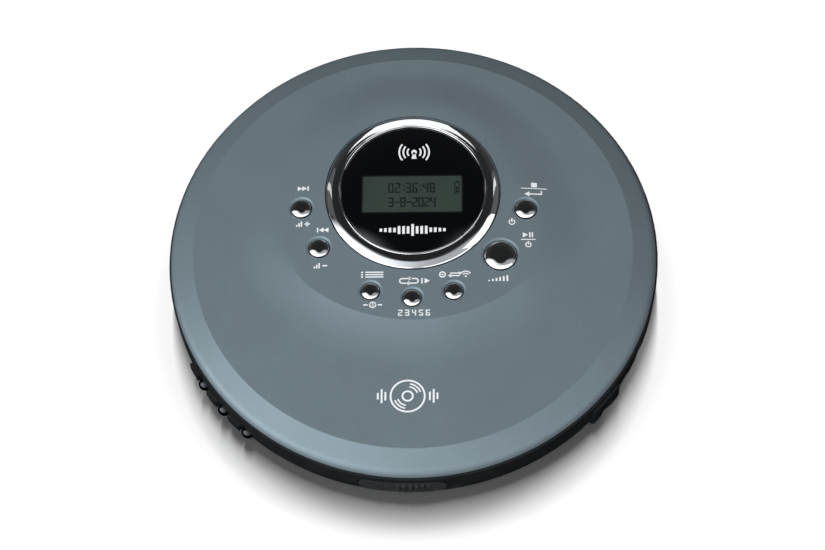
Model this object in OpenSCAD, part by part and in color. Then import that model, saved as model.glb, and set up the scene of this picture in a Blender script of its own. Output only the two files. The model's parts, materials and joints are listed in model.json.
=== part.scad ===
// Round portable disc player with a hinged silver lid, a low black base,
// a display set in a chrome ring and seven dome buttons round it.
// Origin: centre of the footprint on the table. +Z up, latch at -Y, hinge at +Y.

/* [Lid] */
// Outer radius of the lid
lid_r = 70; // [66:0.5:76]
// Height of the lid's lower edge above the table
lid_z = 20; // [20:0.1:22]
// Height of the straight part of the lid's rim
rim_h = 1.9; // [1.2:0.1:2.6]
// Radius of the crisp ridge inside the chamfer
ridge_r = 63.05; // [58:0.05:66]
// Height of the flat field above the lid's lower edge
field_h = 4.8; // [4.4:0.1:5.5]
// Thickness of the lid cover
cover_t = 1.3; // [1:0.1:1.6]
// Height of the raised control area above the flat field
plateau_h = 1.9; // [1.6:0.1:2.4]
// Centre of the raised control area, measured toward the hinge
plateau_y = 13.5; // [10:0.1:16]
// Radius of the raised area where it meets the flat field
plateau_base_r = 45; // [42:0.1:47]
// Radius of the raised area at its top edge
plateau_top_r = 38.5; // [38:0.1:41]

/* [Display] */
// Centre of the display ring, measured toward the hinge
bezel_y = 16.8; // [14:0.1:18]
// Outer radius of the chrome display ring
bezel_r = 25.1; // [24:0.1:27]
// Radius of the glass seen inside the ring
glass_r = 20.7; // [20:0.1:22]
// Width of the liquid crystal panel
lcd_w = 33; // [28:0.5:34]
// Depth of the liquid crystal panel
lcd_d = 17; // [12:0.5:18]

/* [Lid buttons: azimuth, distance from display centre, diameter] */
// Next button
next_btn = [189, 32.6, 5.8];
// Previous button
previous_btn = [214, 32.3, 5.8];
// Menu button
menu_btn = [249.7, 34.2, 5.15];
// Mode button
mode_btn = [270, 34.3, 5.15];
// Source button
source_btn = [290.2, 34.3, 5.15];
// Play button
play_btn = [320.4, 32.7, 9.2];
// Stop button
stop_btn = [349.9, 33.1, 6.1];
// Press travel of every lid button
button_travel = 0.4; // [0.2:0.05:0.4]

/* [Base] */
// Radius of the base wall at its top
base_r = 70.5; // [69:0.1:70.5]
// Radius of the base wall where the bottom curve starts
base_low_r = 70.4; // [69:0.1:70.4]
// Radius of the curve under the base
base_curve = 13.2; // [11:0.1:13.4]
// Underside of the base above the table
base_z = 0.6; // [0.4:0.1:1]
// Wall and floor thickness of the base
wall = 1.6; // [1.4:0.1:2]
// Top of the base rim
rim_z = 19.6; // [19.4:0.1:19.8]
// Radius of the disc well
well_r = 61.5; // [61:0.1:62]
// Height of the disc well floor
well_z = 17.8; // [17.6:0.1:18]

/* [Hinge and latch] */
// Hinge axis, measured toward the back
hinge_y = 65; // [64:0.1:66]
// Height of the hinge axis
hinge_z = 14; // [13:0.1:15]
// Radius of the hinge pin
pin_r = 1; // [0.8:0.05:1.2]
// Radius of the hinge barrels
barrel_r = 2.6; // [2.4:0.1:2.8]
// Start of the latch slider round the rim, in degrees
latch_a0 = -102.2; // [-103:0.1:-101]
// Width of the latch slider, in degrees
latch_da = 20; // [16:0.5:20]

/* [Side controls] */
// Height of the side buttons and sockets
side_z = 12.6; // [12:0.1:13]
// Azimuth of the volume up button
vol_up_az = -147.6; // [-148:0.1:-146]
// Azimuth of the volume down button
vol_down_az = -139.6; // [-140:0.1:-138]
// Azimuth of the bass button
bass_az = -131.5; // [-132:0.1:-131]
// Radius of the side buttons
knob_r = 1.9; // [1.6:0.1:2.1]
// Radius to the centre of each side button's domed end
knob_out = 70.1; // [69:0.1:70.2]
// Azimuth of the headphone socket
phones_az = -23.5;
// Azimuth of the line out socket
line_az = -31;
// Azimuth of the power socket
dc_az = -39.5;
// Bore radius of the two audio sockets
jack_bore_r = 1.8; // [1.75:0.01:1.85]
// Bore radius of the power socket
dc_bore_r = 2.75; // [2.7:0.05:2.85]

/* [Battery bay] */
// Cell radius
cell_r = 7.15; // [7:0.05:7.25]
// Cell length without the button end
cell_l = 48.8; // [48:0.1:49.5]
// Distance of the first cell from the spindle
cell_y = 26; // [25.5:0.1:27]
// Spacing of the two cells
cell_pitch = 15.2; // [15:0.1:15.5]
// Height of the cell axis
cell_z = 9.4; // [9.3:0.1:9.5]

/* [Mechanism] */
// Radius of the centring boss that the disc sits on
boss_r = 7.35; // [7.3:0.01:7.45]
// Height of the seat under the disc
seat_z = 19.2; // [19:0.1:19.3]
// Radius of the seat under the disc
seat_r = 14.5; // [13:0.1:15]
// Rest position of the lens, measured toward the latch
lens_y = -25; // [-26:0.1:-24]
// Travel of the pickup sled
sled_travel = 30; // [26:0.5:30]
// Spacing of each guide rod from the centre line
rod_x = 19; // [18.5:0.1:19.5]
// Height of the guide rods
rod_z = 12.2; // [12:0.1:12.4]
// Gear module
gear_m = 0.5;

/* [Hidden] */

$fn = 96;
eps = 0.05;
far = 90;

silver = [0.62, 0.66, 0.69];
black = [0.16, 0.17, 0.18];
chrome = [0.82, 0.83, 0.85];
board = [0.1, 0.35, 0.2];
steel = [0.6, 0.6, 0.62];
white = [0.9, 0.9, 0.88];
copper = [0.75, 0.5, 0.3];

field_z = lid_z + field_h;
plateau_z = field_z + plateau_h;
cover_in_z = field_z - cover_t;
plateau_in_z = plateau_z - 1.1;
rim_in_r = lid_r - 1.7;
floor_z = base_z + wall;
curve_z = base_z + base_curve;
curve_r = base_low_r - base_curve;
in_top_r = base_r - wall;
in_low_r = base_low_r - wall;
deck_under = well_z - 1;
latch_z = 14.2;
latch_half = 2.9;
latch_end = 2.42;
latch_swing = 2.9;
swing_r = rim_z - hinge_z;

// lid stack
liner_z = 22.1;
liner_top = 23.1;
pcb2_z = 23.2;
pcb2_top = 24;
stem_z = 24.95;
dome_z = plateau_z - 0.2;
button_gap = 0.3;
bezel_hole_r = bezel_r + 0.25;
bezel_flange_r = bezel_r + 1.1;
glass_z = 28.1;

// battery bay
bay_x = 28.8;
bay_y0 = cell_y - cell_r - 0.45;
bay_y1 = cell_y + cell_pitch + cell_r + 0.45;
bay_wall = 1.2;
bay_top = 16.5;
door_t = 1.2;
door_z = base_z + 0.1;
door_x = 27.6;
door_gap = 0.3;
door_y0 = bay_y0 + 0.3;
door_y1 = bay_y1 - 0.9;

// boards
pcb_z = 3.2;
pcb_t = 1.2;
side_board_z = 8.4;
side_board_t = 1;
switch_face = 64.3;
plunger_tip = 64.9;
knob_back = 65.45;
knob_stop = 66.9;

// mechanism stack
plate_z = 14.6;
plate_t = 1.2;
post_x = 25;
post_y0 = -50;
post_y1 = 9;
rack_x = 13.5;
rack_z = 8.9;
small_teeth = 14;
big_teeth = 32;
pinion_teeth = 10;
mesh_gap = 0.1;
pitch = PI * gear_m;
idler_x = rack_x + gear_m * small_teeth / 2 + mesh_gap;
idler_y = -16;
mesh_az = 15;
motor_c = gear_m * (big_teeth + pinion_teeth) / 2 + mesh_gap;
motor_x = idler_x + motor_c * cos(mesh_az);
motor_y = idler_y + motor_c * sin(mesh_az);
big_gear_z = 7.2;

// axis-aligned block from its low corner to its high corner
module block(a, b) {
  translate(a)
  cube(b - a);
}

// cylinder between two heights
module disc(r, z0, z1) {
  translate([0, 0, z0])
  cylinder(r = r, h = z1 - z0);
}

// ring between two heights
module tube(r0, r1, z0, z1) {
  difference() {
    disc(r1, z0, z1);
    disc(r0, z0 - 1, z1 + 1);
  }
}

// part of a ring, from azimuth a0 through da degrees
module sector(r0, r1, z0, z1, a0, da) {
  rotate([0, 0, a0])
  rotate_extrude(angle = da)
  translate([r0, z0])
  square([r1 - r0, z1 - z0]);
}

// frame on the base wall: local +Z points outward at an azimuth and height
module radial(az, z) {
  rotate([0, 0, az])
  translate([0, 0, z])
  rotate([0, 90, 0])
  children();
}

// cylinder along X between two positions
module rod_along_x(r, x0, x1, y, z) {
  translate([x0, y, z])
  rotate([0, 90, 0])
  cylinder(r = r, h = x1 - x0);
}

// cylinder along Y between two positions
module rod_along_y(r, x, y0, y1, z) {
  translate([x, y1, z])
  rotate([90, 0, 0])
  cylinder(r = r, h = y1 - y0);
}

// bowl with a straight wall and a curved lower corner
module bowl(top_r, low_r, rad, zc, top) {
  translate([0, 0, zc])
  cylinder(r1 = low_r, r2 = top_r, h = top - zc);
  disc(low_r - rad, zc - rad, zc + eps);
  intersection() {
    rotate_extrude()
    translate([low_r - rad, zc])
    circle(r = rad);
    disc(low_r + 1, zc - rad, zc);
  }
}

// gear outline with easy running teeth
module gear2d(n) {
  pr = gear_m * n / 2;
  half = 90 / n;
  shape = [[-0.6, -0.62], [-0.36, 0], [-0.18, 0.4], [0.18, 0.4], [0.36, 0], [0.6, -0.62]];
  polygon([for (i = [0 : n - 1]) for (p = shape)
    let (r = pr + p[1], a = 360 * i / n + 2 * half * p[0])
    [r * cos(a), r * sin(a)]]);
}

// places children at the four mechanism posts
module at_posts() {
  for (x = [-post_x, post_x], y = [post_y0, post_y1])
    translate([x, y, 0])
    children();
}

// places children at the case screws
module at_case_screws() {
  for (p = [[50, 20], [-50, 20], [34, -50.5], [-34, -50.5]])
    translate([p[0], p[1], 0])
    children();
}

// places children at the feet
module at_feet() {
  for (x = [-43, 43], y = [-27, 32])
    translate([x, y, 0])
    children();
}

// hinge block fixed to the base
module knuckle(x0, x1) {
  // the foot of each knuckle runs back into the wall
  outer_x = max(abs(x0), abs(x1));
  foot_y = sqrt(pow(in_top_r + 0.5, 2) - outer_x * outer_x);
  rod_along_x(barrel_r, x0, x1, hinge_y, hinge_z);
  block([x0, hinge_y - barrel_r, hinge_z - 3.2], [x1, foot_y, hinge_z]);
}

module hinge_slots() {
  for (x = [-13.55, 8.95])
    block([x, 62.2, 11], [x + 4.6, far, 22]);
  difference() {
    block([-24, hinge_y, hinge_z], [24, far, 25]);
    rod_along_x(swing_r, -25, 25, hinge_y, hinge_z);
  }
}

module base_shell() color(black) {
  difference() {
    union() {
      difference() {
        bowl(base_r, base_low_r, base_curve, curve_z, rim_z);
        bowl(in_top_r, in_low_r, base_curve - wall, curve_z, rim_z + 1);
      }
      // battery bay
      difference() {
        block([-bay_x - bay_wall, bay_y0 - bay_wall, floor_z - eps],
          [bay_x + bay_wall, bay_y1 + bay_wall, bay_top]);
        block([-bay_x, bay_y0, 0], [bay_x, bay_y1, 20]);
      }
      // mechanism posts
      at_posts()
      disc(2.2, floor_z - eps, 13);
      // case screw posts
      at_case_screws()
      disc(2.6, floor_z - 0.6, 8);
      // raised housing round the power socket
      intersection() {
        radial(dc_az, side_z + 0.2)
        block([-4.6, -5.6, 67.6], [4.6, 5.6, 72]);
        bowl(base_r + 0.8, base_r + 0.7, 2.4, side_z - 2, 18);
      }
      // raised bars beside the side buttons
      for (az = [vol_up_az, vol_down_az, bass_az])
        sector(base_r - 0.9, base_r + 0.8, side_z - 1.3, side_z + 1.7, az - 5.8, 3.8);
      // hinge knuckles
      for (x = [-16, -8.8, 6.5, 13.7])
        knuckle(x, x + 2.3);
      // board supports
      for (a = [200, 340])
        rotate([0, 0, a])
        translate([40, 0, 0])
        disc(1.8, floor_z - eps, pcb_z);
      for (az = [phones_az, dc_az, vol_up_az, bass_az])
        rotate([0, 0, az])
        translate([59, 0, 0])
        disc(1.6, floor_z - eps, side_board_z);
      // post for the latch spring
      translate([13, -63.4, 0])
      disc(0.8, 4, 14.2);
    }
    // bay opening under the door
    block([-door_x - door_gap, door_y0 - 0.8 + eps, -1],
      [door_x + door_gap, door_y1 + door_gap, floor_z + eps]);
    // sockets for the door pins
    rod_along_x(0.45, -door_x - 1.6, door_x + 1.6, door_y0, door_z + door_t / 2);
    // screw bores and counterbores
    at_posts()
    disc(0.9, 6, 14);
    at_case_screws() {
      disc(1.1, 0, 9);
      disc(2.3, -1, 3.4);
    }
    at_feet()
    disc(4.7, -1, 1);
    // latch recess and the slot behind it
    latch_outline(base_low_r - 0.6, far, latch_half + 0.3, latch_swing + 0.7);
    sector(60, far, 12.5, 14.7, -88.6, 6.1);
    // side button holes
    for (az = [vol_up_az, vol_down_az, bass_az])
      radial(az, side_z)
      translate([0, 0, 60])
      cylinder(r = knob_r + 0.3, h = 20);
    // socket holes
    for (az = [phones_az, line_az])
      radial(az, side_z)
      translate([0, 0, 60])
      cylinder(r = 3.1, h = 20);
    radial(dc_az, side_z)
    translate([0, 0, 60])
    cylinder(r = 3.9, h = 20);
    hinge_slots();
    rod_along_x(pin_r + 0.02, -17, 17, hinge_y, hinge_z);
  }
}

module disc_deck() color(black) {
  difference() {
    union() {
      disc(well_r + 1, deck_under, well_z);
      tube(well_r, well_r + 1, deck_under, rim_z);
      tube(well_r + 0.5, in_top_r - 0.8, rim_z - 1.2, rim_z);
      at_case_screws()
      disc(2.3, 8.1, rim_z - 0.6);
    }
    // opening over the hub and the lens
    disc(15.6, 0, 30);
    block([-12, -59, 0], [12, 0, 30]);
    at_case_screws()
    disc(0.95, 7, 15.5);
    // hinge and catch clearance
    hinge_slots();
    for (x = [-16.3, 6.2])
      block([x, 62.6, 0], [x + 10.1, far, 18]);
    block([-2.4, -far, 0], [2.4, -63.2, 30]);
    // lid switch plunger
    translate([-10, -64.4, 0])
    disc(0.9, 17, 21);
  }
}

module battery_door() color(black) {
  difference() {
    union() {
      block([-door_x, door_y0, door_z], [door_x, door_y1, door_z + door_t]);
      rod_along_x(door_t / 2, -door_x, door_x, door_y0, door_z + door_t / 2);
      rod_along_x(0.4, -door_x - 1.3, door_x + 1.3, door_y0, door_z + door_t / 2);
      // snap tab
      block([-6, door_y1 - 2.2, door_z + door_t - eps], [6, door_y1 - 1, door_z + 2.6]);
    }
    // finger grooves
    for (y = [door_y1 - 8 : 1.6 : door_y1 - 3])
      block([-7, y, 0], [7, y + 0.8, door_z + 0.4]);
  }
}

module battery_cells() color(copper) {
  for (s = [-1, 1])
    translate([0, cell_y + (s + 1) * cell_pitch / 2, cell_z])
    rotate([0, 90 * s, 0]) {
      disc(cell_r, -cell_l / 2, cell_l / 2 - 0.6);
      disc(cell_r - 0.9, cell_l / 2 - 1, cell_l / 2);
      disc(2.7, cell_l / 2 - 1, cell_l / 2 + 1.3);
    }
}

module battery_contacts() color(chrome) {
  for (s = [-1, 1])
    translate([s * 28.3, cell_y + (s + 1) * cell_pitch / 2, cell_z])
    block([-0.2, -5, -5.5], [0.2, 5, 5.5]);
  for (s = [-1, 1])
    translate([-s * 28.3, cell_y + (s + 1) * cell_pitch / 2, cell_z])
    block([-0.2, -5, -5.5], [0.2, 5, 5.5]);
}

module battery_springs() color(chrome) {
  for (s = [-1, 1])
    translate([-s * 28, cell_y + (s + 1) * cell_pitch / 2, cell_z])
    rotate([0, 90 * s, 0])
    for (i = [0 : 5])
      translate([0, 0, 0.35 + i * 0.55])
      rotate_extrude()
      translate([4.2 - i * 0.3, 0])
      circle(r = 0.32, $fn = 32);
}

module main_pcb() color(board) {
  difference() {
    intersection() {
      disc(54, pcb_z, pcb_z + pcb_t);
      block([-60, -60, 0], [60, 15.4, 10]);
    }
    at_posts()
    disc(2.6, 0, 10);
  }
}

module pcb_chips() color(black) {
  z = pcb_z + pcb_t;
  block([-9, -10, z], [3, 2, z + 1.5]);
  block([8, -34, z], [17, -25, z + 1.4]);
  block([-22, -36, z], [-12, -28, z + 1.4]);
  block([30, -12, z], [37, -7, z + 1.6]);
  block([-44, -6, z], [-35, 2, z + 1.6]);
  block([-14, -52, z], [-6, -46, z + 1.4]);
}

module pcb_capacitors() color(steel) {
  z = pcb_z + pcb_t;
  for (p = [[37, 2, 2.4], [43, 2, 2.4], [-37, -14, 2.4], [-37, 9, 2], [-43, 9, 2], [42, -6, 2]])
    translate([p[0], p[1], 0])
    disc(p[2], z, z + 3.4);
}

// board on a sector of the base, for the side controls
module side_board(a0, da) {
  sector(47, 64.6, side_board_z, side_board_z + side_board_t, a0, da);
}

module io_pcb() color(board) side_board(-46.5, 33.5);

module key_pcb() color(board) side_board(-153, 25.6);

// socket body with a round collar through the wall
module jack(az, half_w, top, collar_r, bore_r) {
  difference() {
    union() {
      rotate([0, 0, az])
      block([54.5, -half_w, side_board_z + side_board_t + 0.1], [66.2, half_w, top]);
      radial(az, side_z)
      disc(collar_r, 65, 69.3);
    }
    radial(az, side_z)
    translate([0, 0, 55.6])
    cylinder(r = bore_r, h = 20);
  }
}

module headphone_jack() color(steel) jack(phones_az, 3.1, 15.3, 2.8, jack_bore_r);

module line_out_jack() color(steel) jack(line_az, 3.1, 15.3, 2.8, jack_bore_r);

module dc_inlet() color(steel) {
  jack(dc_az, 3.5, 15.9, 3.6, dc_bore_r);
  radial(dc_az, side_z)
  translate([0, 0, 55.5])
  cylinder(r = 0.65, h = 11);
}

module side_switches() color(white) {
  for (az = [vol_up_az, vol_down_az, bass_az]) {
    rotate([0, 0, az])
    block([61, -2.2, side_board_z + side_board_t], [switch_face, 2.2, side_z + 1.6]);
    radial(az, side_z)
    disc(0.8, switch_face - eps, plunger_tip);
  }
}

// push button through the side wall with a domed end
module side_button(az) color(chrome) {
  radial(az, side_z) {
    disc(knob_r, knob_back, knob_out);
    disc(2.6, knob_stop, knob_stop + 0.8);
    translate([0, 0, knob_out])
    sphere(r = knob_r);
  }
}

module button_volume_up() side_button(vol_up_az);

module button_volume_down() side_button(vol_down_az);

module button_bass() side_button(bass_az);

module mech_chassis() color(steel) {
  difference() {
    union() {
      intersection() {
        block([-28.5, -62.2, plate_z], [28.5, 13.5, plate_z + plate_t]);
        disc(66, 0, 20);
      }
      // rod carriers
      for (x = [-rod_x, rod_x], y = [-62.2, -13.8])
        block([x - 1.6, y, rod_z - 1.6], [x + 1.6, y + 2, plate_z + eps]);
    }
    block([-6.8, -60.6, 0], [6.8, -18, 20]);
    disc(3.3, 0, 20);
    at_posts()
    disc(2.3, 0, 20);
    for (x = [-rod_x, rod_x])
      rod_along_y(1.02, x, -63, -11, rod_z);
    // idler pin
    translate([idler_x, idler_y, 0])
    disc(0.8, 0, 20);
    // sled motor boss
    translate([motor_x, motor_y, 0])
    disc(6.2, 0, plate_z + 0.01);
  }
}

module damper_grommets() color(black) {
  at_posts()
  difference() {
    union() {
      disc(3.1, 13, plate_z - 0.05);
      disc(2.2, 13.2, 16);
      disc(3.1, plate_z + plate_t + 0.05, 16.1);
    }
    disc(1.1, 12, 17);
  }
}

module mech_screws() color(steel) {
  at_posts()
  difference() {
    union() {
      disc(0.85, 7, 16.4);
      disc(2.2, 16.15, 16.7);
    }
    block([-1.4, -0.25, 16.5], [1.4, 0.25, 17]);
  }
}

module spindle_motor() color(steel) {
  difference() {
    union() {
      disc(9.5, 9.4, 14.55);
      disc(3, 14, 15.4);
    }
    disc(1.05, 11, 20);
  }
}

module spindle_hub() color(black) {
  difference() {
    union() {
      disc(1, 11.2, 16.5);
      disc(4.4, 15.8, 18.4);
      disc(seat_r, 18, seat_z);
      disc(boss_r, seat_z - 0.2, 20.9);
      translate([0, 0, 20.9])
      cylinder(r1 = boss_r, r2 = boss_r - 1, h = 0.6);
    }
    // ball pockets
    for (a = [90, 210, 330])
      rotate([0, 0, a])
      translate([boss_r - 0.65, 0, 20.3])
      sphere(r = 1.05);
    // recess round the shaft
    disc(3.2, 20.7, 22);
  }
}

module clamp_balls() color(chrome) {
  for (a = [90, 210, 330])
    rotate([0, 0, a])
    translate([boss_r - 0.65, 0, 20.3])
    sphere(r = 1);
}

module guide_rods() color(chrome) {
  for (x = [-rod_x, rod_x])
    rod_along_y(1, x, -62.4, -11.6, rod_z);
}

module sled_motor() color(steel) {
  translate([motor_x, motor_y, 0])
  difference() {
    union() {
      disc(5.8, 8.9, plate_z - 0.05);
      disc(1.5, 8.75, 9);
    }
    disc(0.55, 8, 12);
  }
}

module motor_pinion() color(copper) {
  translate([motor_x, motor_y, 0]) {
    translate([0, 0, big_gear_z])
    rotate([0, 0, mesh_az + 180 + 180 / pinion_teeth])
    linear_extrude(height = 1.4)
    gear2d(pinion_teeth);
    disc(0.5, big_gear_z, 11.5);
  }
}

module idler_gear() color(white) {
  translate([idler_x, idler_y, 0])
  difference() {
    union() {
      translate([0, 0, big_gear_z])
      rotate([0, 0, mesh_az])
      linear_extrude(height = 1.4)
      gear2d(big_teeth);
      translate([0, 0, big_gear_z + 1.3])
      rotate([0, 0, 180])
      linear_extrude(height = rack_z + 1.4 - big_gear_z - 1.3)
      gear2d(small_teeth);
    }
    disc(0.85, 0, 20);
  }
}

module idler_pin() color(steel) {
  translate([idler_x, idler_y, 0]) {
    disc(0.78, big_gear_z - 0.2, plate_z + 0.8);
    disc(1.6, big_gear_z - 0.8, big_gear_z - 0.15);
  }
}

module optical_sled() color(black) {
  y = lens_y;
  difference() {
    union() {
      block([-8.5, y - 6.5, 8.9], [8.5, y + 7, 13]);
      block([-rod_x - 2, y - 3, 11.2], [-8, y + 3, 13]);
      block([8, y - 4.5, 11.2], [rod_x, y + 5.5, 13]);
      rod_along_y(2, rod_x, y - 4.5, y + 5.5, rod_z);
    }
    rod_along_y(1.06, rod_x, y - 6, y + 7, rod_z);
    // open fork on the second rod
    block([-rod_x - 3, y - 4, rod_z - 1.06], [-rod_x + 1.4, y + 4, rod_z + 1.06]);
    // pocket under the lens
    translate([0, y, 0])
    disc(3, 10, 14);
  }
}

module sled_rack() color(white) {
  base_x = rack_x - 2;
  z1 = rack_z + 1.4;
  teeth = [for (i = [0 : 20]) for (p = [[-0.62, -0.6], [0, -0.36], [0.4, -0.18],
    [0.4, 0.18], [0, 0.36], [-0.62, 0.6]]) [rack_x + p[0], idler_y + pitch * (i + 0.5 + p[1] / 2)]];
  translate([0, 0, rack_z])
  linear_extrude(height = 1.4)
  polygon(concat([[base_x, idler_y - 3 * pitch]], [[rack_x - 0.62, idler_y - 3 * pitch]],
    [for (i = [-2 : -1]) for (p = [[-0.62, -0.6], [0, -0.36], [0.4, -0.18], [0.4, 0.18],
    [0, 0.36], [-0.62, 0.6]]) [rack_x + p[0], idler_y + pitch * (i + 0.5 + p[1] / 2)]],
    teeth, [[base_x, idler_y + pitch * 21]]));
  // arm along the sled
  block([8.55, lens_y - 5, rack_z], [base_x + 0.5, lens_y + 6, z1]);
  block([base_x, lens_y - 5, rack_z], [base_x + 1.2, idler_y, z1]);
}

module actuator_yoke() color(steel) {
  for (s = [-1, 1])
    translate([0, lens_y, 0])
    block([s * 5.4 - 0.5, -4, 13], [s * 5.4 + 0.5, 4, 15.6]);
}

module lens_holder() color(black) {
  difference() {
    translate([0, lens_y, 0]) {
      block([-3.9, -3.6, 13.6], [3.9, 3.6, 16]);
      disc(3.1, 15.9, 16.9);
    }
    translate([0, lens_y, 0])
    disc(2.3, 13, 18);
  }
}

module objective_lens() color(chrome) {
  translate([0, lens_y, 0]) {
    disc(2.28, 15.6, 16.6);
    intersection() {
      translate([0, 0, 13.2])
      sphere(r = 4);
      disc(2.28, 16.5, 18);
    }
  }
}

// band with rounded ends round the rim, lengthened at its right end by some degrees
module latch_outline(r0, r1, half, extra) {
  left = latch_a0 + latch_end;
  right = latch_a0 + latch_da - latch_end + extra;
  intersection() {
    tube(r0, r1, latch_z - half, latch_z + half);
    union() {
      sector(r0 - 1, r1 + 1, latch_z - half - 1, latch_z + half + 1, left, right - left);
      for (a = [left, right])
        radial(a, latch_z)
        disc(half + 0.15, r0 - 3, r1 + 1);
    }
  }
}

module latch_slider() color(black) {
  latch_outline(base_low_r - 0.4, base_r, latch_half, 0);
  // finger ribs
  for (i = [0 : 5])
    sector(base_r - 0.1, base_r + 0.5, latch_z - 1.9, latch_z + 1.9, latch_a0 + 8.6 + i * 1.4, 0.7);
  // raised arrow that shows the way it slides
  for (i = [0 : 2])
    sector(base_r - 0.1, base_r + 0.3, latch_z - 1.5 + i * 0.5, latch_z + 1.5 - i * 0.5,
      latch_a0 + 3.6 + i * 1.1, 0.8);
  // tongue behind the catch
  sector(64.9, base_low_r, 12.8, 14.4, -88.1, 2.5);
}

module latch_spring() color(steel) {
  translate([13, -63.4, 0]) {
    for (i = [0 : 5])
      translate([0, 0, 11.4 + i * 0.4])
      rotate_extrude()
      translate([1.25, 0])
      circle(r = 0.22, $fn = 32);
    translate([0, -1.25, 13.4])
    rotate([0, -90, 0])
    cylinder(r = 0.22, h = 3.9, $fn = 32);
  }
}

module lid_switch() color(white) {
  block([-13, -65.4, 14.2], [-7, -63, 18.2]);
  translate([-10, -64.4, 0])
  disc(0.6, 18, 19.9);
}

module hinge_pin() color(chrome) rod_along_x(pin_r, -16, 16, hinge_y, hinge_z);

module hinge_spring() color(steel) {
  for (i = [-9 : 9])
    translate([i * 0.42, hinge_y, hinge_z])
    rotate([0, 90, 0])
    rotate_extrude()
    translate([1.6, 0])
    circle(r = 0.25, $fn = 32);
  translate([3.78, hinge_y - 1.6, hinge_z])
  rotate([180, 0, 0])
  cylinder(r = 0.25, h = 3, $fn = 32);
}

module rubber_feet() color(black) {
  at_feet()
  disc(4.5, 0, 1);
}

module case_screws() color(steel) {
  at_case_screws()
  difference() {
    union() {
      disc(0.9, 3, 14);
      disc(2, 2.2, 3.4);
    }
    block([-1.3, -0.25, 1], [1.3, 0.25, 2.7]);
    block([-0.25, -1.3, 1], [0.25, 1.3, 2.7]);
  }
}

// places children at a lid button
module at_button(b) {
  translate([b[1] * cos(b[0]), bezel_y + b[1] * sin(b[0]), 0])
  children();
}

module at_lid_screws() {
  for (a = [0 : 60 : 300])
    rotate([0, 0, a])
    translate([65.2, 0, 0])
    children();
}

lid_buttons = [next_btn, previous_btn, menu_btn, mode_btn, source_btn, play_btn, stop_btn];

module lid_cover() color(silver) {
  difference() {
    union() {
      rotate_extrude()
      polygon([[0, cover_in_z], [62.3, cover_in_z], [rim_in_r, lid_z + 1], [rim_in_r, lid_z],
        [lid_r - 0.7, lid_z], [lid_r, lid_z + 0.7], [lid_r, lid_z + rim_h],
        [ridge_r, field_z], [0, field_z]]);
      translate([0, plateau_y, field_z - eps])
      cylinder(r1 = plateau_base_r, r2 = plateau_top_r, h = plateau_h + eps);
      // screw bosses
      at_lid_screws()
      disc(1.7, lid_z + 1.45, lid_z + 2.9);
    }
    // pocket under the raised area
    translate([0, plateau_y, cover_in_z - eps])
    cylinder(r1 = plateau_base_r - 1, r2 = plateau_top_r - 0.8,
      h = plateau_in_z - cover_in_z + eps);
    translate([0, bezel_y, 0])
    disc(bezel_hole_r, 0, 40);
    for (b = lid_buttons)
      at_button(b) {
        disc(b[2] / 2 + button_gap, 20, 40);
        translate([0, 0, plateau_z - 0.45])
        cylinder(r1 = b[2] / 2 + button_gap, r2 = b[2] / 2 + button_gap + 0.7, h = 0.47);
      }
    at_lid_screws()
    disc(0.55, lid_z, lid_z + 2.5);
  }
}

module lid_liner() color(black) {
  difference() {
    union() {
      tube(well_r + 0.1, rim_in_r - 0.3, lid_z, lid_z + 0.85);
      tube(well_r + 0.1, rim_in_r - 1.3, lid_z, lid_z + 1.4);
      tube(well_r - 0.1, well_r + 1.1, lid_z, liner_top);
      disc(well_r + 1.1, liner_z, liner_top);
      // hinge arms
      for (x = [-13.3, 9.2]) {
        rod_along_x(barrel_r, x, x + 4.1, hinge_y, hinge_z);
        block([x, hinge_y - 1.7, hinge_z], [x + 4.1, hinge_y + 1.7, lid_z + 0.2]);
      }
      // catch at the front
      block([-1.8, -64.9, 13], [1.8, -63.7, lid_z + 0.2]);
      block([-1.8, -66.2, 13], [1.8, -63.7, 14.2]);
    }
    rod_along_x(pin_r + 0.05, -14, 14, hinge_y, hinge_z);
    at_lid_screws() {
      disc(0.75, 19, 22);
      disc(1.6, 19, lid_z + 0.75);
    }
  }
}

module lid_screws() color(steel) {
  at_lid_screws() {
    disc(0.5, lid_z + 0.6, lid_z + 2.4);
    difference() {
      disc(1.4, lid_z + 0.05, lid_z + 0.7);
      block([-0.9, -0.2, 19], [0.9, 0.2, lid_z + 0.35]);
      block([-0.2, -0.9, 19], [0.2, 0.9, lid_z + 0.35]);
    }
  }
}

module display_bezel() color(chrome) {
  z = plateau_z + 0.15;
  translate([0, bezel_y, 0])
  rotate_extrude()
  polygon([[glass_r + 1.4, 25.1], [bezel_flange_r, 25.1], [bezel_flange_r, 25.5], [bezel_r, 25.5],
    [bezel_r, z], [bezel_r - 0.75, z + 0.54], [bezel_r - 1.55, z + 0.95], [bezel_r - 2.2, z + 1.2],
    [bezel_r - 3, z + 1.36], [glass_r + 0.35, z + 1.5], [glass_r + 0.1, z + 1.42],
    [glass_r + 0.05, glass_z - 0.5], [glass_r + 1.4, glass_z - 0.5]]);
}

module display_window() color(black) {
  translate([0, bezel_y, 0]) {
    disc(glass_r + 1.2, 26.2, glass_z - 0.6);
    disc(glass_r, 26.5, glass_z);
  }
}

module lcd_panel() color([0.35, 0.4, 0.36]) {
  translate([0, bezel_y - 1, 0])
  block([-lcd_w / 2, -lcd_d / 2, 25.15], [lcd_w / 2, lcd_d / 2, 26.15]);
}

module lcd_backlight() color(white) {
  translate([0, bezel_y - 1, 0])
  block([-lcd_w / 2 - 0.5, -lcd_d / 2 - 0.5, pcb2_top + 0.05],
    [lcd_w / 2 + 0.5, lcd_d / 2 + 0.5, 25.1]);
}

module control_pcb() color(board) {
  translate([0, plateau_y, 0])
  disc(plateau_top_r - 1.9, pcb2_z, pcb2_top);
}

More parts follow.
